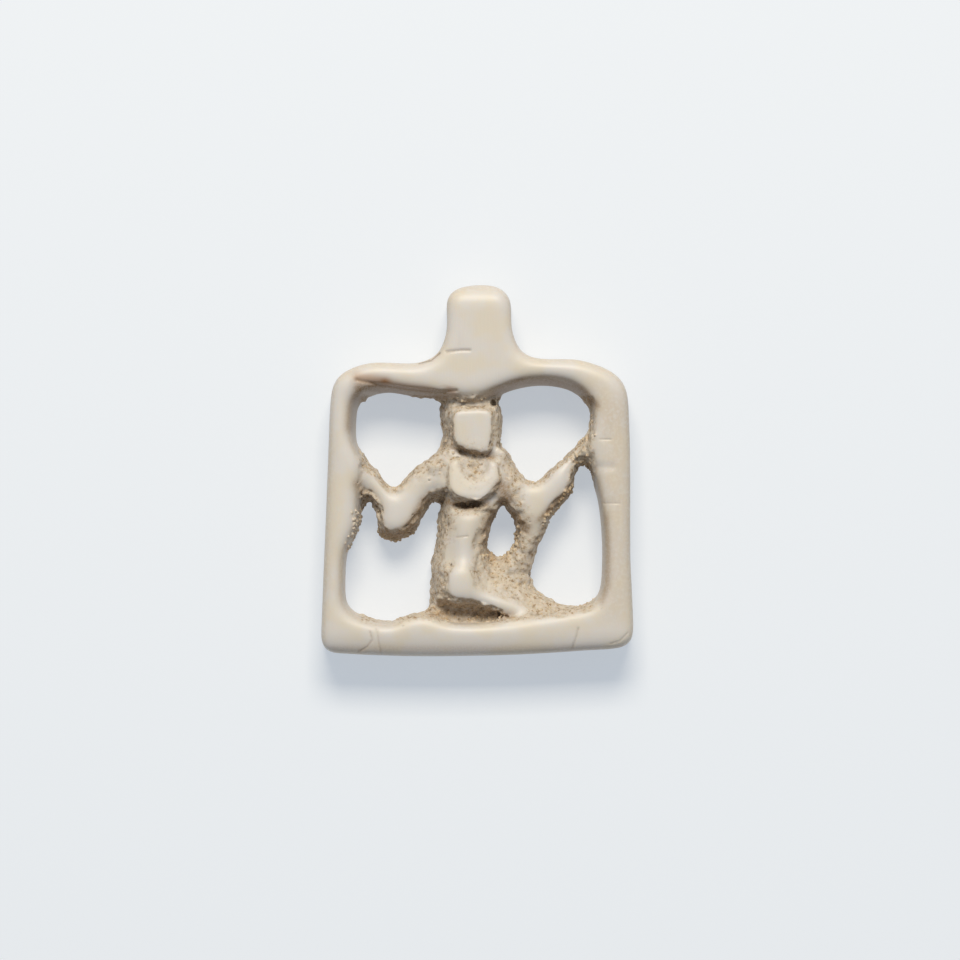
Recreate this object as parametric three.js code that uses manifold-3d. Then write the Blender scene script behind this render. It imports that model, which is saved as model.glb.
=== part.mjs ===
// Heh amulet, carved from one piece of bone: a kneeling figure in a squared openwork frame, with
// its raised arms against the side bars, under a loop that is bored from side to side.
// Millimetres. It lies on its flat back at z = 0, carved front up, with the loop towards +Y.

import * as THREE from "three";
import { mergeVertices } from "three/addons/utils/BufferGeometryUtils.js";
import Module from "manifold-3d";

const wasm = await Module();
wasm.setup();

// Driving dimensions
const DEPTH = 4.4; // back to the frame's front
const EDGE_ROUND = 0.45; // worn outer edges of the frame
const FACET_TOP = -11.2; // where the bottom bar's worn lower facet begins
const FACET_ANGLE = 18; // degrees
const REACH = 30; // longer than the whole amulet, for what cuts right through it

// Levels of the carved fronts above the back
const HEAD_FRONT = DEPTH - 0.9;
const FACE_FRONT = DEPTH - 0.3;
const CHEST_FRONT = DEPTH - 0.35;
const TORSO_FRONT = DEPTH - 0.6;
const LAP_FRONT = DEPTH - 0.2;
const SHIN_FRONT = DEPTH - 0.5;
const ARM_FRONT = DEPTH - 0.8;
const STRUT_FRONT = DEPTH - 1.6;
const BASE_FRONT = DEPTH - 2.2;
const COLUMN_FRONT = DEPTH - 1.1;

// Share of a form's height at which its walls begin to draw in
const LOW = 0.2;
const SLOPED = 0.35;
const STEEP = 0.6;

// The window in the frame: its walls lean outward to the front, most of all at the top left
const FLARE_CENTRE = [4, -9.5];
const FLARE_HEIGHT = 15; // from that centre up to where the walls lean most
const FLARE = 0.035; // outward growth at the front there, as a share of the distance from that centre
const LIP_CENTRE = [0, -2.5];
const LIP = 0.03; // further growth right at the front, which rounds the bars' inner edges

// The loop above the frame, and the thread's bore through it
const LOOP_TOP = 12.5;
const LOOP_FOOT = 6;
const LOOP_ROUND = 1.1;
const BORE_RADIUS = 1.05;
const BORE_HEIGHT = 9.7;

// Ovals cut into the figure: the slope under the face, and the grooves under the chin and the chest
const THROAT = { centre: [-0.2, 0.9, CHEST_FRONT + 0.9], radii: [1.5, 2, 1.7], turn: 0 };
const CHIN_GROOVE = { centre: [-0.4, 1.2, CHEST_FRONT], radii: [1.5, 0.3, 1.5], turn: -14 };
const WAIST_GROOVE = { centre: [-0.7, -2.35, CHEST_FRONT], radii: [1.5, 0.4, 1.5], turn: 4 };
const LEG_HOLLOW_FLOOR = 0.45 * DEPTH;

// Fineness of curves
const SPAN_STEPS = 2; // straight steps between two points of an outline
const ROUND_STEPS = 3; // steps over a rounded edge

const FRAME_OUTLINE = [
  [-10.5, -11.7], [-10.2, -12.2], [-9.6, -12.3], [-5.2, -12.5], [-1.2, -12.5], [2.9, -12.4],
  [7.6, -12.1], [9.9, -11.9], [10.4, -11.5], [10.5, -10.4], [10.3, -6], [10.3, -0.6],
  [10.2, 3.9], [10, 5.6], [9.3, 6.5], [8.1, 7.1], [6.6, 7.5], [4.6, 7.5], [3.4, 7.7],
  [2.7, 8.3], [2.4, 9.3], [0.2, 9.8], [-2.1, 9.3], [-2.4, 8.2], [-3, 7.6], [-4.2, 7.2],
  [-6.9, 7.3], [-8.5, 6.9], [-9.6, 6.1], [-9.9, 4.7], [-10, 2.5], [-10.2, -2.7], [-10.5, -10.4],
];
const WINDOW_OUTLINE = [
  [-8.1, 1.7], [-8.1, 3.4], [-8, 4.3], [-7.2, 4.9], [-5.9, 5.2], [-4.9, 5], [-3.2, 4.8],
  [-1, 4.5], [0.2, 4.5], [1.2, 4.9], [2.3, 5.3], [3.7, 5.6], [5, 5.6], [6.3, 5.3], [7.1, 4.7],
  [7.6, 4], [7.6, 3], [7.3, 1.6], [7.6, 0.3], [7.9, -1.1], [8.2, -2.5], [8.4, -4.7], [8.4, -6.7],
  [8.2, -8.4], [7.5, -9], [6.3, -9.3], [5, -9.5], [1.5, -10], [-1.8, -10], [-3.4, -9.6],
  [-4.5, -9.7], [-5.7, -10.2], [-6.8, -10.1], [-8.6, -9.4], [-8.9, -8.7], [-8.9, -7.4],
  [-8.8, -5.7], [-8.4, -4.7], [-8, -3.9], [-7.8, -2.6], [-7.8, -1.3], [-7.4, 0.2],
];
const LOOP_OUTLINE = [
  [-2.3, 6.9], [-2.3, 8.1], [-2.2, 9.1], [-2.1, 11], [-2, 11.8], [-1.3, 12.3], [-0.1, 12.5],
  [0.9, 12.5], [1.7, 12.2], [2.2, 11.6], [2.3, 11], [2.4, 9.8], [2.5, 8.6], [2.5, 6.9],
];
const COLUMN_OUTLINE = [
  [-2.4, 4.9], [-2.4, 2.3], [-2.7, 1], [-2.8, -0.6], [-2.5, -2], [-2.7, -3.7], [-2.9, -5],
  [-3.2, -6.3], [-3.2, -8], [-3.4, -9.5], [-3.2, -11], [1.9, -11], [1.4, -8.7], [0.8, -7],
  [0.5, -5.3], [0.7, -4.3], [1.1, -3.1], [1.5, -2.3], [1.9, -1.3], [1.9, 0.4], [1.6, 1.4],
  [1.5, 2.1], [1.6, 3.1], [1.5, 4.2], [1.1, 4.9],
];
const HEAD_OUTLINE = [
  [-1.9, 4.4], [-0.5, 4.5], [1.3, 4.5], [1.5, 3.9], [1.5, 2.1], [1.3, 1.2], [0.5, 1.1],
  [-0.6, 1.3], [-1.7, 1.9], [-2, 2.3], [-2.1, 3.9],
];
const FACE_OUTLINE = [
  [-1.7, 4.1], [-0.5, 4.3], [1, 4.2], [1.2, 3], [1.1, 2], [0.9, 1.3], [0.4, 1], [-0.5, 1.2],
  [-1.5, 1.6], [-1.8, 2.7],
];
const CHEST_OUTLINE = [
  [-2.1, 0.7], [-2.2, -0.3], [-2.1, -1.2], [-1.8, -1.7], [-1.3, -2], [-0.1, -2.2], [0.5, -2.1],
  [1.3, -1.3], [1.7, -0.8], [1.7, 0], [1.5, 0.7], [0.2, 1], [-1.2, 1],
];
const TORSO_OUTLINE = [
  [-1.5, -2.1], [0.9, -2.1], [0.6, -3], [0.1, -4.2], [-0.2, -5.3], [-0.1, -7], [-1.5, -7],
  [-1.6, -4.7],
];
const LAP_OUTLINE = [
  [-2.1, -6.4], [-1.2, -6.1], [-0.3, -6.2], [0.1, -7], [0.1, -8], [-0.2, -8.7], [-1.5, -8.9],
  [-2.3, -8.8], [-2.4, -8], [-2.4, -7],
];
const SHIN_OUTLINE = [
  [-1.5, -7.4], [-0.1, -7.9], [0.9, -8.2], [2, -8.5], [2.9, -8.8], [3.9, -9.3], [4.4, -9.9],
  [3.2, -9.9], [1.5, -9.4], [-0.5, -9], [-1.9, -8.9],
];
const BASE_OUTLINE = [
  [-0.6, -5.2], [0.6, -5.4], [1.5, -6.1], [2.5, -7.1], [3.6, -7.9], [4.6, -8.5], [5.6, -9],
  [6.6, -9.2], [7.6, -9], [8.6, -9.7], [8.3, -10.6], [4.5, -10.5], [1.4, -10.4], [0.4, -8.9],
  [-0.8, -7],
];
const LEFT_ARM_OUTLINE = [
  [-8.9, 0.9], [-7.9, 1], [-7.1, 0.1], [-6.7, -0.4], [-5.9, -1.3], [-5.6, -1.8], [-5.3, -1.4],
  [-4.9, -0.9], [-4.5, -0.2], [-3.4, 0.5], [-2.7, 1], [-1.8, 1.2], [-1.7, -1.6], [-2.8, -1.9],
  [-3.2, -2.1], [-3.6, -2.9], [-4, -3.9], [-4.4, -4.3], [-5.3, -4.8], [-6.2, -4.7],
  [-6.8, -4.2], [-6.7, -3.1], [-7.1, -2.3], [-7.6, -1.7], [-8.9, -1.8],
];
const RIGHT_ARM_OUTLINE = [
  [1, 1.3], [2, 1.2], [2.3, 0.5], [2.7, -0.3], [3.1, -0.8], [3.7, -1.1], [4.2, -0.8], [4.9, 0],
  [6, 0.8], [6.8, 1.7], [7.4, 2.2], [8.4, 1.9], [8.1, 0.5], [7.3, 0.5], [6.8, 0.3],
  [6.4, -0.7], [6.5, -1.3], [6, -2], [5, -3.1], [4.3, -3.8], [3.4, -4.1], [2.7, -3.8],
  [2.2, -3.2], [1.9, -2.4], [1.4, -2.4], [0.9, -2],
];
const STRUT_OUTLINE = [
  [2.6, -3], [3.6, -2.5], [4.8, -3], [4.6, -3.9], [4.2, -4.7], [3.6, -6.2], [3.5, -7.2],
  [3.6, -8.2], [2.6, -8.4], [1.5, -7.7], [1.3, -6.2], [1.7, -5.8], [2.4, -5.1], [2.6, -4.2],
];
const HOLLOW_OUTLINE = [
  [-3.2, -9.5], [-2.7, -9.1], [-1.7, -8.9], [-0.5, -9], [0.6, -9.2], [1.5, -9.5], [2.5, -9.7],
  [3.4, -9.9], [2.5, -10.1], [1.5, -10.2], [0.1, -10.3], [-1.3, -10.3], [-2.5, -10.1],
];

// A smooth closed shape through a few points
function smooth(points) {
  const knots = points.map(([x, y]) => new THREE.Vector3(x, y, 0));
  const curve = new THREE.CatmullRomCurve3(knots, true, "centripetal");
  const ring = curve.getPoints(SPAN_STEPS * points.length).slice(0, -1);
  return new THREE.Shape(ring.map(({ x, y }) => new THREE.Vector2(x, y)));
}

// The same geometry with every vertex moved by a rule
function reshaped(geometry, rule) {
  const place = geometry.attributes.position;
  for (let i = 0; i < place.count; i++) {
    const point = new THREE.Vector3().fromBufferAttribute(place, i);
    rule(point);
    place.setXYZ(i, point.x, point.y, point.z);
  }
  return geometry;
}

// A geometry as a solid that can be joined and cut
function solid(geometry) {
  geometry.deleteAttribute("normal");
  geometry.deleteAttribute("uv");
  const { attributes, index } = mergeVertices(geometry, 1e-5);
  return new wasm.Manifold(new wasm.Mesh({
    numProp: 3,
    vertProperties: Float32Array.from(attributes.position.array),
    triVerts: Uint32Array.from(index.array),
  }));
}

// A plate from the back to `front`, with rounded edges
function plate(points, front, round) {
  const geometry = new THREE.ExtrudeGeometry(smooth(points), {
    depth: front - 2 * round,
    bevelThickness: round,
    bevelSize: round,
    bevelOffset: -round,
    bevelSegments: ROUND_STEPS,
  });
  geometry.translate(0, 0, round);
  return solid(geometry);
}

// A carved form that stands on the back. Above its foot the wall is drawn in by `draft` and leans
// by `lean`; `tilt` raises the front for each millimetre towards +X and +Y from its middle.
function carved(points, { front, draft, foot = SLOPED * front, lean = [0, 0], tilt = [0, 0] }) {
  const geometry = new THREE.ExtrudeGeometry(smooth(points), {
    depth: 2 * foot,
    bevelThickness: front - foot,
    bevelSize: draft,
    bevelOffset: -draft,
    bevelSegments: ROUND_STEPS,
  });
  geometry.translate(0, 0, -foot);
  geometry.computeBoundingBox();
  const middle = geometry.boundingBox.getCenter(new THREE.Vector3());
  return solid(reshaped(geometry, (point) => {
    const rise = Math.max(point.z, 0) / front;
    const slope = tilt[0] * (point.x - middle.x) + tilt[1] * (point.y - middle.y);
    point.x += lean[0] * rise;
    point.y += lean[1] * rise;
    point.z += slope * rise;
  }));
}

// An oval cutter, turned about Z by `turn` degrees
function oval({ centre, radii, turn }) {
  const geometry = new THREE.SphereGeometry(1, 20, 12);
  geometry.scale(...radii);
  geometry.rotateZ(THREE.MathUtils.degToRad(turn));
  geometry.translate(...centre);
  return solid(geometry);
}

// The opening through the frame, wider at the front
function windowCutter() {
  const geometry = new THREE.ExtrudeGeometry(smooth(WINDOW_OUTLINE), {
    depth: 1.4 * DEPTH,
    steps: 7,
    bevelEnabled: false,
  });
  geometry.translate(0, 0, -0.2 * DEPTH);
  const flareCentre = new THREE.Vector3(...FLARE_CENTRE, 0);
  const lipCentre = new THREE.Vector3(...LIP_CENTRE, 0);
  return solid(reshaped(geometry, (point) => {
    const rise = Math.max(point.z, 0) / DEPTH;
    const lean = Math.max(point.y - flareCentre.y, 0) / FLARE_HEIGHT;
    const flat = point.clone().setZ(0);
    point.addScaledVector(flat.clone().sub(flareCentre), FLARE * lean * rise);
    point.addScaledVector(flat.sub(lipCentre), LIP * rise ** 6);
  }));
}

// The loop: its front outline crossed with a side profile that is rounded at the top, then bored
function loop() {
  const side = new THREE.Shape();
  side.moveTo(LOOP_FOOT, 0);
  side.lineTo(LOOP_TOP - LOOP_ROUND, 0);
  side.absarc(LOOP_TOP - LOOP_ROUND, LOOP_ROUND, LOOP_ROUND, -Math.PI / 2, 0);
  side.absarc(LOOP_TOP - LOOP_ROUND, DEPTH - LOOP_ROUND, LOOP_ROUND, 0, Math.PI / 2);
  side.lineTo(LOOP_FOOT, DEPTH);
  const profile = new THREE.ExtrudeGeometry(side, { depth: REACH, bevelEnabled: false, curveSegments: 8 });
  profile.translate(0, 0, -REACH / 2);
  const alongX = new THREE.Matrix4().makeBasis(
    new THREE.Vector3(0, 1, 0), new THREE.Vector3(0, 0, 1), new THREE.Vector3(1, 0, 0));
  profile.applyMatrix4(alongX);
  const bore = new THREE.CylinderGeometry(BORE_RADIUS, BORE_RADIUS, REACH, 24);
  bore.rotateZ(Math.PI / 2);
  bore.translate(0, BORE_HEIGHT, DEPTH / 2);
  return { body: plate(LOOP_OUTLINE, DEPTH, EDGE_ROUND).intersect(solid(profile)), bore: solid(bore) };
}

function frame() {
  const facet = new THREE.BoxGeometry(REACH, DEPTH, DEPTH);
  facet.translate(0, 0, DEPTH / 2);
  facet.rotateX(THREE.MathUtils.degToRad(FACET_ANGLE));
  facet.translate(0, FACET_TOP, DEPTH);
  return plate(FRAME_OUTLINE, DEPTH, EDGE_ROUND).subtract(windowCutter()).subtract(solid(facet));
}

// The figure's trunk, from the top bar to the bottom bar, with its head, chest, torso and lap
function trunk() {
  const column = carved(COLUMN_OUTLINE, {
    front: COLUMN_FRONT, draft: 0.7, foot: LOW * COLUMN_FRONT, lean: [0.2, 0],
  });
  const chest = carved(CHEST_OUTLINE, {
    front: CHEST_FRONT, draft: 0.3, foot: STEEP * CHEST_FRONT, tilt: [0, -0.15],
  });
  const torso = carved(TORSO_OUTLINE, { front: TORSO_FRONT, draft: 0.3, foot: STEEP * TORSO_FRONT });
  const lap = carved(LAP_OUTLINE, { front: LAP_FRONT, draft: 0.45, foot: STEEP * LAP_FRONT });
  const head = carved(HEAD_OUTLINE, {
    front: HEAD_FRONT, draft: 0.4, foot: STEEP * HEAD_FRONT, lean: [0.05, -0.1],
  });
  const face = carved(FACE_OUTLINE, { front: FACE_FRONT, draft: 0.3, foot: STEEP * FACE_FRONT });
  return column.add(chest).subtract(oval(THROAT)).subtract(oval(CHIN_GROOVE))
    .add(torso).subtract(oval(WAIST_GROOVE)).add(lap).add(head).add(face);
}

// The folded legs: a shin ridge over the sloping base, with a hollow cut under it
function legs() {
  const base = carved(BASE_OUTLINE, { front: BASE_FRONT, draft: 0.2, tilt: [-0.35, -0.7] });
  const shin = carved(SHIN_OUTLINE, {
    front: SHIN_FRONT, draft: 0.2, foot: STEEP * SHIN_FRONT, tilt: [-0.08, 0],
  });
  return base.add(shin);
}

function legHollow() {
  const geometry = new THREE.ExtrudeGeometry(smooth(HOLLOW_OUTLINE), { depth: DEPTH, bevelEnabled: false });
  geometry.translate(0, 0, LEG_HOLLOW_FLOOR);
  return solid(geometry);
}

function arms() {
  const left = carved(LEFT_ARM_OUTLINE, { front: ARM_FRONT, draft: 0.4, lean: [0, 0.4] });
  const right = carved(RIGHT_ARM_OUTLINE, { front: ARM_FRONT, draft: 0.4, lean: [0.1, 0.35] });
  const strut = carved(STRUT_OUTLINE, {
    front: STRUT_FRONT, draft: 0.4, lean: [0.2, 0], tilt: [0, 0.3],
  });
  return left.add(right).add(strut);
}

// The whole amulet, cut flat at the back and the front, with x = y = 0 at the middle of its outline
function amuletGeometry() {
  const { body, bore } = loop();
  const block = new THREE.BoxGeometry(REACH, REACH, DEPTH);
  block.translate(0, 0, DEPTH / 2);
  const whole = frame().add(body).add(trunk()).add(legs()).add(arms())
    .subtract(legHollow()).subtract(bore).intersect(solid(block));
  const { vertProperties, triVerts } = whole.getMesh();
  const geometry = new THREE.BufferGeometry();
  geometry.setAttribute("position", new THREE.BufferAttribute(vertProperties, 3));
  geometry.setIndex(new THREE.BufferAttribute(triVerts, 1));
  geometry.computeBoundingBox();
  const middle = geometry.boundingBox.getCenter(new THREE.Vector3());
  geometry.translate(-middle.x, -middle.y, -geometry.boundingBox.min.z);
  geometry.computeVertexNormals();
  return geometry;
}

const bone = new THREE.MeshStandardMaterial({ color: 0xd8ccb6, roughness: 0.55, metalness: 0 });
const amulet = new THREE.Mesh(amuletGeometry(), bone);
amulet.name = "amulet";

const part = new THREE.Group();
part.add(amulet);

export default part;
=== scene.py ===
# Heh amulet of worn bone, lying on its flat back on a pale surface and seen from straight above.
#
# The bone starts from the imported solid. It becomes a grid of distances from the surface, on which
# it is worn, roughened, scratched and crusted, and the grid becomes the mesh that is shown.
# Places and sizes on the bone are in millimetres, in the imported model's frame.

import math

import bpy
import numpy as np
import openvdb
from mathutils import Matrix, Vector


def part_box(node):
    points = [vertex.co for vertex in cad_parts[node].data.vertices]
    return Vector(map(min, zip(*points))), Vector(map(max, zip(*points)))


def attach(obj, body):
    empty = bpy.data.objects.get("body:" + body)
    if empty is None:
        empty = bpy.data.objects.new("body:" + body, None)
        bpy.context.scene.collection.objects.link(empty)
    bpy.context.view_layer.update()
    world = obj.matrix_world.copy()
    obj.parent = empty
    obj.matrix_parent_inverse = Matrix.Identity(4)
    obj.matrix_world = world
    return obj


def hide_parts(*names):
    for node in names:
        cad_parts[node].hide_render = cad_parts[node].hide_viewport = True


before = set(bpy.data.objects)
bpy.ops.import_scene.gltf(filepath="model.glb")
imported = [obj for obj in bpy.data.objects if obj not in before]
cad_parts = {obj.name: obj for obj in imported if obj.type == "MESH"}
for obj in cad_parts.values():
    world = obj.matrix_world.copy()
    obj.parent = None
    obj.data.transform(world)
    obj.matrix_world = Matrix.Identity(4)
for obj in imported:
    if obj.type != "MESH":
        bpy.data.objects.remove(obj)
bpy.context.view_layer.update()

MM = 0.001
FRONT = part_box("amulet")[1][2] / MM

# The grid, and the mesh made from it
VOXEL = 0.06
BAND = 8  # grid steps on each side of the surface that hold true distances
MOST_TRIANGLES = 190_000

# How far edges are worn, and how far around a point is looked at for hollows, in grid steps
FRAME_WEAR = 6
TRUNK_WEAR = 2
HOLLOW_REACH = 8

# Grains of sand and pits: how many there are, and their smallest and largest radius
CRUST_GRAINS = (300, (0.08, 0.14))
LOOSE_GRAINS = (600, (0.06, 0.1))
PITS = (600, (0.04, 0.09))

# The figure's ground inside the frame, the same with the frame's own inner walls, and the trunk,
# whose carved edges are still crisp
WINDOW = ((-7.9, -10.2), (7.9, 5.0))
OPENINGS = ((-9.0, -10.4), (9.0, 6.4))
TRUNK = ((-2.4, -2.6), (1.9, 4.6))

# Cuts in the front: path, half width, depth, and how much soil they hold
CUTS = [
    ([(-2.05, 8.0), (-1.0, 8.1), (-0.5, 8.1)], 0.1, 0.05, 0.3),
    ([(-3.9, 7.2), (-3.1, 7.4), (-2.5, 7.9)], 0.06, 0.06, 0.6),
    ([(-8.1, 6.1), (-6.6, 5.8), (-4.6, 5.5), (-2.4, 5.3), (-1.4, 5.4)], 0.12, 0.06, 0.5),
    ([(-7.2, -10.85), (-7.05, -11.4), (-7.4, -11.85), (-8.0, -12.2)], 0.06, 0.03, 0.3),
    ([(-6.75, -10.6), (-6.65, -11.4), (-6.45, -12.4)], 0.06, 0.03, 0.2),
    ([(6.8, -10.6), (6.65, -11.25), (6.4, -11.95)], 0.07, 0.04, 0.2),
    ([(8.95, -11.65), (9.6, -11.45), (10.15, -10.9)], 0.05, 0.03, 0.2),
    ([(8.25, 2.1), (9.0, 2.1)], 0.06, 0.03, 0.1),
    ([(8.55, -2.2), (9.6, -2.2)], 0.05, 0.03, 0.1),
    ([(8.25, 0.25), (9.05, 0.25)], 0.3, 0.05, 0.0),
    ([(-1.4, -4.5), (-0.6, -4.4)], 0.06, 0.03, 0.3),
    ([(-2.5, -8.75), (-1.85, -8.55)], 0.06, 0.04, 0.5),
]

# Where soil has stained the front: path, half width, strength
RUST_STAINS = [
    ([(-8.1, 6.3), (-7.3, 6.2), (-6.2, 6.0)], 0.35, 0.6),
    ([(-6.2, 5.95), (-4.8, 5.7), (-3.2, 5.5)], 0.28, 0.4),
    ([(-1.9, 5.6), (-1.6, 5.2)], 0.25, 0.5),
]

# Where soil still sticks to walls and undersides, painted darker there also as the shade that falls
# on these walls and undersides: path, half width, strength
SOILED_AND_SHADED = [
    ([(-8.0, 5.7), (-5.0, 5.3), (-2.2, 5.1)], 0.3, 0.7),
    ([(-8.1, 5.3), (-8.5, 4.2), (-8.6, 2.9)], 0.35, 0.5),
    ([(1.2, 5.3), (2.9, 6.0), (4.6, 6.1), (6.9, 5.4), (8.0, 4.4)], 0.3, 0.7),
    ([(-1.7, 1.6), (-1.0, 1.35), (0.05, 1.05), (1.0, 0.9)], 0.2, 0.8),
    ([(-1.95, -2.1), (-0.6, -2.45), (0.65, -2.2)], 0.22, 0.9),
    ([(1.6, -1.0), (2.0, -1.9)], 0.45, 0.9),
    ([(2.5, -3.1), (3.3, -3.9)], 0.35, 0.8),
    ([(4.2, -3.3), (5.6, -1.9), (6.2, -1.3)], 0.22, 0.8),
    ([(-6.4, -4.3), (-5.4, -4.5), (-4.6, -3.8), (-3.6, -2.0)], 0.3, 0.7),
    ([(0.9, -2.9), (0.6, -4.6), (1.0, -5.8)], 0.35, 0.6),
    ([(-3.0, -9.6), (-0.5, -9.6), (2.4, -9.8)], 0.3, 0.6),
    ([(8.7, -3.0), (8.85, -5.4), (8.8, -7.7), (8.4, -8.9)], 0.22, 0.4),
    ([(-8.1, -0.9), (-7.75, -1.4)], 0.35, 0.6),
    ([(-9.6, -12.0), (9.6, -12.0)], 0.3, 0.3),
]

# Where the bone has yellowed: path, half width, strength
YELLOWED = [
    ([(9.3, 4.0), (9.4, -9.0)], 1.3, 0.45),
    ([(-9.8, 2.0), (-10.1, -8.0)], 0.5, 0.25),
    ([(8.0, 5.6), (9.0, 3.6)], 0.9, 0.3),
]

# Crumbs of hardened sand: path on the front's plan, half width, share of all crumbs
CRUSTS = [
    ([(-8.3, -2.8), (-8.0, -3.4), (-8.15, -4.3), (-8.5, -5.0)], 0.3, 1.0),
    ([(-6.8, -4.1), (-6.2, -4.6), (-5.2, -4.7), (-4.4, -4.2)], 0.25, 1.0),
    ([(6.4, 0.8), (6.9, 0.9), (7.5, 0.8)], 0.25, 0.8),
    ([(6.9, 1.9), (7.6, 2.3)], 0.25, 0.4),
    ([(4.6, -3.3), (5.6, -2.2), (6.3, -1.2)], 0.2, 0.6),
    ([(2.6, -4.2), (2.5, -5.1), (1.9, -5.8)], 0.3, 0.8),
    ([(0.8, -5.6), (1.2, -6.3)], 0.25, 0.6),
]

# Rough shoulders and elbows, where the front isn't polished: path, half width
ROUGH_FRONTS = [
    ([(-4.4, 0.1), (-2.6, 0.5)], 0.75),
    ([(1.9, 0.7), (2.6, -0.6)], 0.6),
    ([(2.4, -1.2), (3.2, -3.2)], 0.45),
    ([(2.7, -4.2), (1.9, -6.0)], 0.75),
    ([(-0.2, 0.9), (-0.2, -0.1)], 0.8),
    ([(-1.2, -2.7), (0.6, -2.6)], 0.35),
    ([(7.2, 1.6), (6.9, 0.8)], 0.5),
]

# The hole left by the drill between the head and the top bar
DRILL = {"centre": (1.1, 4.55), "radius": 0.26, "floor": 1.8}

# Colours, linear
BONE = (0.65, 0.615, 0.58)
CREAM = (0.66, 0.60, 0.51)
TAN = (0.56, 0.47, 0.36)
# The soil's colour, also used for the painted shade in hollows and under overhangs
SOIL_AND_SHADE_BROWN = (0.30, 0.19, 0.10)
RUST = (0.34, 0.16, 0.055)
OCHRE = (0.60, 0.44, 0.25)
# Near-black of the pores, also used for the painted shade in fine creases
PIT_AND_CREASE_SHADE = (0.10, 0.06, 0.035)

# Light and camera
VIEW_CENTRE = (0.19, -0.63)
VIEW_WIDTH = 64.55
CAMERA_DISTANCE = 600
KEY_ELEVATION = 52
KEY_DISTANCE = 480
KEY_SIZE = (230, 160)
KEY_POWER = 2.2
KEY_COLOUR = (1.0, 0.93, 0.8)
COOL_WHITE = (0.82, 0.9, 1.0)
ROOM_STRENGTH = 0.33
FLOOR_GREY = (0.45, 0.45, 0.45)
FLOOR_GLOW = 0.465


def smoothstep(low, high, values):
    share = np.clip((values - low) / (high - low), 0, 1)
    return share * share * (3 - 2 * share)


def numbers(collection, name, width, kind=np.float32):
    """One property of all items of a mesh collection, as rows of an array."""
    flat = np.empty(len(collection) * width, kind)
    collection.foreach_get(name, flat)
    return flat.reshape(-1, width)


def inside(x, y, box, soft):
    """1 inside a box on the plan, 0 outside it, with a soft edge."""
    (x0, y0), (x1, y1) = box
    depth = np.minimum(np.minimum(x - x0, x1 - x), np.minimum(y - y0, y1 - y))
    return smoothstep(-soft, soft, depth)


def trail(x, y, path, width):
    """1 along a path on the plan, falling to 0 at about twice the width from it."""
    nearest = np.inf
    for (x0, y0), (x1, y1) in zip(path, path[1:]):
        dx, dy = x1 - x0, y1 - y0
        share = np.clip(((x - x0) * dx + (y - y0) * dy) / (dx * dx + dy * dy), 0, 1)
        nearest = np.minimum(nearest, (x - x0 - share * dx) ** 2 + (y - y0 - share * dy) ** 2)
    return np.exp(-nearest / width ** 2)


def marked(x, y, marks):
    """How strongly the marks of a list lie on places on the plan."""
    return sum(strength * trail(x, y, path, width) for path, width, strength in marks)


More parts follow.
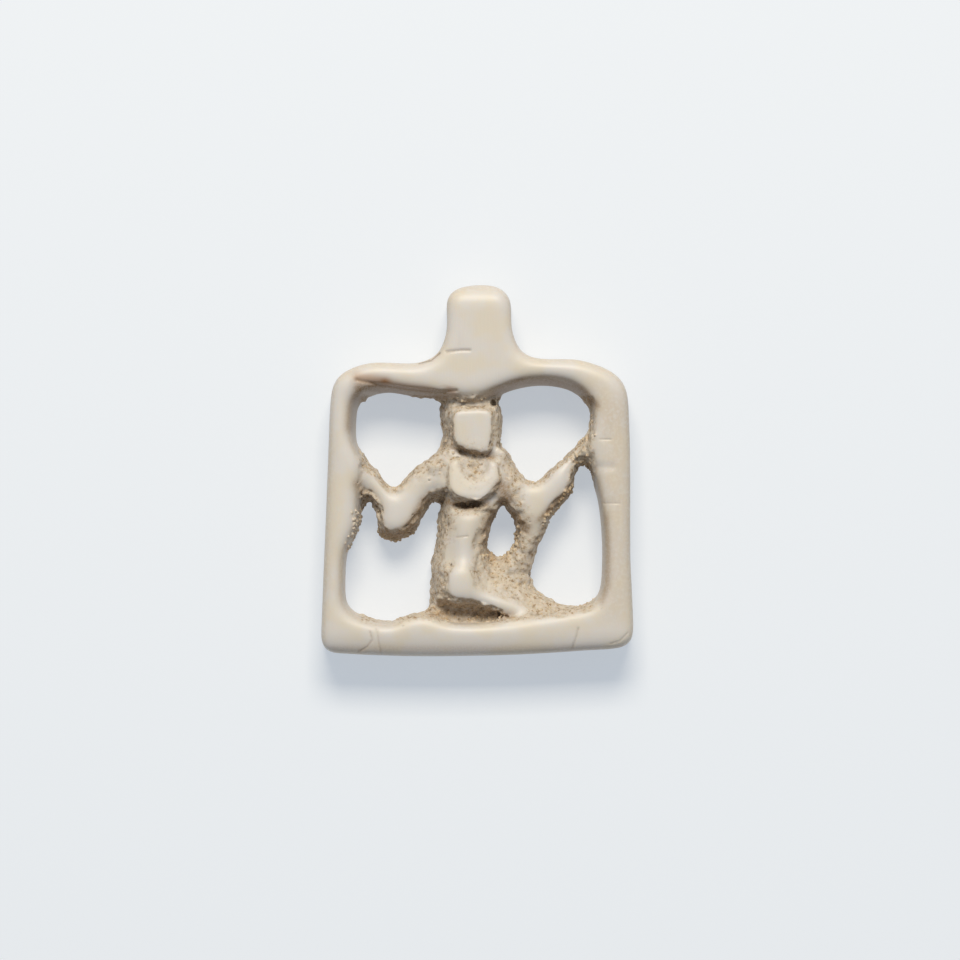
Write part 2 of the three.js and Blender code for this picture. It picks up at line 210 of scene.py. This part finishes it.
class Field:
    """Distances from a surface on a grid of points, negative inside."""

    def __init__(self, mesh):
        mesh.calc_loop_triangles()
        grid = openvdb.FloatGrid.createLevelSetFromPolygons(
            numbers(mesh.vertices, "co", 3) / MM,
            triangles=numbers(mesh.loop_triangles, "vertices", 3, np.int32).astype(np.uint32),
            transform=openvdb.createLinearTransform(voxelSize=VOXEL),
            halfWidth=BAND,
        )
        self.first, last = grid.evalActiveVoxelBoundingBox()
        self.shape = tuple(b - a + 1 for a, b in zip(self.first, last))
        self.limit = grid.background
        self.values = np.full(self.shape, self.limit, np.float32)
        grid.copyToArray(self.values, ijk=self.first)
        places = [
            (VOXEL * (np.arange(size) + start)).astype(np.float32)
            for size, start in zip(self.shape, self.first)
        ]
        self.places = places
        self.x = places[0][:, None, None]
        self.y = places[1][None, :, None]
        self.z = places[2][None, None, :]

    def averaged(self, steps):
        """The distances, averaged three times over so many steps each way."""
        result = self.values
        width = 2 * steps + 1
        for axis in range(3):
            edges = [(0, 0)] * 3
            edges[axis] = (steps + 1, steps)
            ahead, behind = [slice(None)] * 3, [slice(None)] * 3
            ahead[axis], behind[axis] = slice(width, None), slice(None, -width)
            for _ in range(3):
                total = np.cumsum(np.pad(result, edges, mode="edge"), axis=axis)
                result = (total[tuple(ahead)] - total[tuple(behind)]) / width
        return result

    def noise(self, seed, spacing):
        """Smooth random values with a spread of 1."""
        steps = [(place - place[0]) / spacing for place in self.places]
        knots = [int(step[-1]) + 4 for step in steps]
        result = np.random.default_rng(seed).standard_normal(knots).astype(np.float32)
        for axis, step in enumerate(steps):
            knot = step.astype(int)
            t = step - knot
            middle = [3 * t ** 3 - 6 * t * t + 4, 3 * (t + t * t - t ** 3) + 1]
            weights = np.array([(1 - t) ** 3, *middle, t ** 3])
            weights /= np.sqrt((weights * weights).sum(0))
            along = [-1 if a == axis else 1 for a in range(3)]
            result = sum(
                np.take(result, knot + i, axis) * w.reshape(along).astype(np.float32)
                for i, w in enumerate(weights)
            )
        return result

    def upward(self):
        """How far the surface near each point faces the front, from -1 to 1."""
        x, y, z = np.gradient(self.values, VOXEL)
        return z / np.sqrt(x * x + y * y + z * z + 1e-9)

    def at(self, points, values):
        """What values on the grid come to at any points."""
        place = points / VOXEL - np.array(self.first)
        cell = np.clip(np.floor(place).astype(int), 0, np.array(self.shape) - 2)
        part = (place - cell).astype(np.float32)
        total = np.zeros(len(points), np.float32)
        for corner in np.ndindex(2, 2, 2):
            weight = np.prod(np.where(np.array(corner) == 1, part, 1 - part), axis=1)
            total += weight * values[tuple((cell + corner).T)]
        return total

    def block(self, centre, reach):
        """The grid's part round a point, and the distances from the point there."""
        part = tuple(
            slice(np.searchsorted(place, c - reach), np.searchsorted(place, c + reach))
            for place, c in zip(self.places, centre)
        )
        x, y, z = (place[s] - c for place, s, c in zip(self.places, part, centre))
        return part, np.sqrt(x[:, None, None] ** 2 + y[:, None] ** 2 + z ** 2)

    def surface_places(self, share, count, rng):
        """Random places on the surface, more of them where the share is high."""
        near = np.argwhere(np.abs(self.values) < 0.5 * VOXEL)
        odds = np.broadcast_to(share, self.shape)[tuple(near.T)].astype(float)
        picked = near[rng.choice(len(near), count, replace=False, p=odds / odds.sum())]
        return (picked + np.array(self.first)) * VOXEL

    def quads(self):
        """The surface as points and four-cornered faces."""
        grid = openvdb.FloatGrid()
        grid.background = self.limit
        grid.transform = openvdb.createLinearTransform(voxelSize=VOXEL)
        grid.copyFromArray(self.values, ijk=self.first)
        return grid.convertToQuads(0.0)


def wear(field):
    """Rounds all edges, those of the trunk less than the rest."""
    worn, crisp = field.averaged(FRAME_WEAR), field.averaged(TRUNK_WEAR)
    field.values = worn + inside(field.x, field.y, TRUNK, 0.3) * (crisp - worn)


def roughness(field):
    """1 where the carving was never polished, 0 on the fronts, the outside and the back."""
    steep = 1 - smoothstep(0.6, 0.9, field.upward())
    low = 1 - smoothstep(FRONT - 1.6, FRONT - 1.1, field.z)
    patches = sum(trail(field.x, field.y, path, width) for path, width in ROUGH_FRONTS)
    rough = np.maximum(np.maximum(steep, low), np.minimum(patches, 1))
    return rough * inside(field.x, field.y, WINDOW, 0.3) * smoothstep(0.2, 0.6, field.z)


def on_front(z):
    """1 at the height of the fronts, 0 on the walls below them."""
    return smoothstep(FRONT - 1.4, FRONT - 0.8, z)


def cut(field):
    for path, width, depth, _ in CUTS:
        field.values += depth * trail(field.x, field.y, path, width) * on_front(field.z)
    (x, y), radius = DRILL["centre"], DRILL["radius"]
    away = np.sqrt((field.x - x) ** 2 + (field.y - y) ** 2)
    field.values = np.maximum(field.values, np.minimum(radius - away, field.z - DRILL["floor"]))


def roughen(field, rough):
    field.values += rough * (0.03 * field.noise(1, 0.5) + 0.028 * field.noise(2, 0.2))


def crumble(field, share, count, radii, seed):
    """Sand grains stuck on the surface; gives how much of each point is sand."""
    rng = np.random.default_rng(seed)
    sand = np.zeros(field.shape, np.float32)
    for place in field.surface_places(share, count, rng):
        radius = rng.uniform(*radii)
        part, away = field.block(place, 2.5 * radius)
        field.values[part] = np.minimum(field.values[part], away - radius)
        sand[part] = np.maximum(sand[part], smoothstep(0.06, 0, away - radius))
    return sand


def pit(field, share, count, radii, seed):
    rng = np.random.default_rng(seed)
    for place in field.surface_places(share, count, rng):
        radius = rng.uniform(*radii)
        part, away = field.block(place, 2.5 * radius)
        field.values[part] = np.maximum(field.values[part], radius - away)


def piece_from(points, faces):
    mesh = bpy.data.meshes.new("carved_bone")
    mesh.vertices.add(len(points))
    mesh.vertices.foreach_set("co", (points * MM).astype(np.float32).ravel())
    mesh.loops.add(4 * len(faces))
    mesh.loops.foreach_set("vertex_index", faces.astype(np.int32).ravel())
    mesh.polygons.add(len(faces))
    mesh.polygons.foreach_set("loop_start", np.arange(0, 4 * len(faces), 4, dtype=np.int32))
    mesh.update(calc_edges=True)
    piece = bpy.data.objects.new("carved_bone", mesh)
    bpy.context.scene.collection.objects.link(piece)
    return piece


def thin(piece, share):
    """Fewer triangles, where the surface is flattest."""
    modifier = piece.modifiers.new("thin", "DECIMATE")
    modifier.ratio = share
    modifier.use_collapse_triangulate = True
    seen = piece.evaluated_get(bpy.context.evaluated_depsgraph_get())
    mesh = bpy.data.meshes.new_from_object(seen)
    piece.modifiers.clear()
    piece.data = mesh
    mesh.shade_smooth()


def paint(mesh, name, values):
    layer = mesh.attributes.new(name, "FLOAT", "POINT")
    layer.data.foreach_set("value", np.clip(values, 0, 1).astype(np.float32))


def made_bone():
    """The amulet, with what its material reads at each vertex."""
    field = Field(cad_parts["amulet"].data)
    wear(field)
    rough = roughness(field)
    hollow = -field.averaged(HOLLOW_REACH)
    cut(field)
    roughen(field, rough)
    crusted = marked(field.x, field.y, CRUSTS) * smoothstep(0.3, 0.8, field.z)
    sheltered = rough * smoothstep(-0.02, 0.1, hollow)
    sand = crumble(field, crusted, *CRUST_GRAINS, seed=3)
    sand = np.maximum(sand, crumble(field, sheltered, *LOOSE_GRAINS, seed=4))
    pit(field, rough, *PITS, seed=5)
    points, faces = field.quads()
    piece = piece_from(points, faces)
    thin(piece, MOST_TRIANGLES / (2 * len(faces)))
    mesh = piece.data
    spots = numbers(mesh.vertices, "co", 3) / MM
    facing = numbers(mesh.vertex_normals, "vector", 3)
    x, y, z = spots.T
    steep = 1 - smoothstep(0.5, 0.9, facing[:, 2])
    # Darkened with the soil colour: hollows, and walls facing the bottom of the picture away from
    # the key light. This is painted shade with some soil. Then come the soil marks and the soil
    # held in cuts.
    below = smoothstep(0.15, 0.75, -facing[:, 1]) * inside(x, y, OPENINGS, 0.3)
    soil_and_shade = 0.4 * smoothstep(0.05, 0.25, field.at(spots, hollow)) + 0.45 * below * steep
    soil_and_shade += marked(x, y, SOILED_AND_SHADED)
    soil_and_shade += on_front(z) * sum(held * trail(x, y, path, width) for path, width, _, held in CUTS)
    paint(mesh, "soil_and_shade", soil_and_shade)
    paint(mesh, "rust", on_front(z) * marked(x, y, RUST_STAINS))
    paint(mesh, "rough", field.at(spots, rough))
    paint(mesh, "sand", field.at(spots, sand))
    # Near-black in pits and fine creases: the bone's dark pores, and painted shade in the creases
    paint(mesh, "pores_and_crease_shade", smoothstep(-0.005, -0.05, field.at(spots, field.averaged(2))))
    paint(mesh, "side", steep * np.maximum(inside(x, y, WINDOW, 0.4), 0.5) + marked(x, y, YELLOWED))
    return piece


class Shader:
    """A material's node tree, with short calls for the nodes that it uses."""

    def __init__(self, name):
        self.material = bpy.data.materials.new(name)
        self.material.use_nodes = True
        self.tree = self.material.node_tree
        self.surface = self.tree.nodes["Principled BSDF"]

    def node(self, kind, inputs, **settings):
        node = self.tree.nodes.new(kind)
        for key, value in settings.items():
            setattr(node, key, value)
        for key, value in inputs.items():
            self.put(node.inputs[key], value)
        return node.outputs

    def put(self, socket, value):
        if isinstance(value, bpy.types.NodeSocket):
            self.tree.links.new(value, socket)
        elif socket.type == "RGBA":
            socket.default_value = (*value, 1)
        else:
            socket.default_value = value

    def attribute(self, name):
        return self.node("ShaderNodeAttribute", {}, attribute_name=name)["Fac"]

    def millimetres(self, stretch=(1, 1, 1)):
        place = self.node("ShaderNodeTexCoord", {})["Object"]
        scale = tuple(s / MM for s in stretch)
        return self.node("ShaderNodeVectorMath", {0: place, 1: scale}, operation="MULTIPLY")[0]

    def noise(self, place, scale, detail=3.0, rough=0.55):
        inputs = {"Vector": place, "Scale": scale, "Detail": detail, "Roughness": rough}
        return self.node("ShaderNodeTexNoise", inputs)[0]

    def ramp(self, value, low, high, to_low=0.0, to_high=1.0):
        inputs = {
            "Value": value, "From Min": low, "From Max": high, "To Min": to_low, "To Max": to_high}
        return self.node("ShaderNodeMapRange", inputs, interpolation_type="SMOOTHSTEP")[0]

    def math(self, operation, a, b):
        return self.node("ShaderNodeMath", {0: a, 1: b}, operation=operation)[0]

    def times(self, a, b):
        return self.math("MULTIPLY", a, b)

    def mix(self, share, a, b):
        return self.node("ShaderNodeMix", {"Factor": share, 6: a, 7: b}, data_type="RGBA")[2]

    def bump(self, height, depth, strength, normal=None):
        inputs = {"Height": height, "Distance": depth * MM, "Strength": strength}
        if normal is not None:
            inputs["Normal"] = normal
        return self.node("ShaderNodeBump", inputs)[0]


def bone_material():
    shader = Shader("bone")
    times = shader.times
    place = shader.millimetres()
    soil_and_shade, rust, rough, sand, pores_and_crease_shade, side = (
        shader.attribute(name) for name in ("soil_and_shade", "rust", "rough", "sand", "pores_and_crease_shade", "side"))
    cloud = shader.noise(place, 0.45, 2.0)
    speckle = shader.noise(place, 4.5, 2.0)
    grit = shader.noise(place, 9.0, 1.0)
    colour = shader.mix(shader.ramp(cloud, 0.4, 0.65), BONE, CREAM)
    unpolished = shader.math("MAXIMUM", rough, side)
    colour = shader.mix(times(unpolished, shader.ramp(speckle, 0.3, 0.6, 0.4, 1.0)), colour, TAN)
    # Soil, and painted shade in hollows, in undercuts and on walls facing away from the key light
    colour = shader.mix(times(soil_and_shade, shader.ramp(grit, 0.3, 0.65, 0.65, 1.0)), colour, SOIL_AND_SHADE_BROWN)
    colour = shader.mix(rust, colour, RUST)
    colour = shader.mix(times(sand, 0.45), colour, OCHRE)
    colour = shader.mix(times(rough, shader.ramp(speckle, 0.56, 0.68, 0.0, 0.8)), colour, SOIL_AND_SHADE_BROWN)
    # Pores, and painted shade in fine creases
    colour = shader.mix(times(pores_and_crease_shade, 0.4), colour, PIT_AND_CREASE_SHADE)
    inputs = shader.surface.inputs
    shader.put(inputs["Base Color"], colour)
    shader.put(inputs["Roughness"], shader.ramp(rough, 0.0, 1.0, 0.45, 0.8))
    inputs["Subsurface Weight"].default_value = 0.12
    inputs["Subsurface Radius"].default_value = (1.0, 0.6, 0.35)
    inputs["Subsurface Scale"].default_value = 0.4 * MM
    lines = shader.noise(shader.millimetres((6, 0.6, 2)), 1.0, 3.0)
    smooth_relief = shader.bump(lines, 0.012, 0.6)
    shader.put(inputs["Normal"], shader.bump(times(grit, rough), 0.05, 0.8, smooth_relief))
    return shader.material


def floor_material():
    """A sheet that is lit from below as well."""
    shader = Shader("pale_surface")
    inputs = shader.surface.inputs
    inputs["Base Color"].default_value = (*FLOOR_GREY, 1)
    inputs["Roughness"].default_value = 0.9
    inputs["Specular IOR Level"].default_value = 0.1
    inputs["Emission Color"].default_value = (*COOL_WHITE, 1)
    inputs["Emission Strength"].default_value = FLOOR_GLOW
    return shader.material


def add_floor():
    half = 1.5
    mesh = bpy.data.meshes.new("pale_surface")
    corners = [(-half, -half, 0), (half, -half, 0), (half, half, 0), (-half, half, 0)]
    mesh.from_pydata(corners, [], [(0, 1, 2, 3)])
    mesh.materials.append(floor_material())
    floor = bpy.data.objects.new("pale_surface", mesh)
    bpy.context.scene.collection.objects.link(floor)
    floor.location.z = -0.02 * MM


def add_lights():
    world = bpy.data.worlds.new("studio")
    bpy.context.scene.world = world
    world.use_nodes = True
    background = world.node_tree.nodes["Background"]
    background.inputs["Color"].default_value = (*COOL_WHITE, 1)
    background.inputs["Strength"].default_value = ROOM_STRENGTH
    lamp = bpy.data.lights.new("key", "AREA")
    lamp.shape = "RECTANGLE"
    lamp.size, lamp.size_y = (size * MM for size in KEY_SIZE)
    lamp.energy = KEY_POWER
    lamp.color = KEY_COLOUR
    key = bpy.data.objects.new("key", lamp)
    bpy.context.scene.collection.objects.link(key)
    angle = math.radians(KEY_ELEVATION)
    reach = KEY_DISTANCE * MM
    key.location = (0, reach * math.cos(angle), reach * math.sin(angle))
    key.rotation_euler = (angle - math.pi / 2, 0, 0)


def add_camera():
    lens = bpy.data.cameras.new("camera")
    lens.sensor_width = 36
    lens.lens = lens.sensor_width * CAMERA_DISTANCE / VIEW_WIDTH
    lens.clip_start, lens.clip_end = 0.01, 10
    camera = bpy.data.objects.new("camera", lens)
    bpy.context.scene.collection.objects.link(camera)
    x, y = VIEW_CENTRE
    camera.location = (x * MM, y * MM, (FRONT + CAMERA_DISTANCE) * MM)
    bpy.context.scene.camera = camera


bpy.context.scene.view_settings.view_transform = "Standard"
add_camera()
add_lights()
add_floor()
bone = made_bone()
bone.data.materials.append(bone_material())
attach(bone, "root")
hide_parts("amulet")
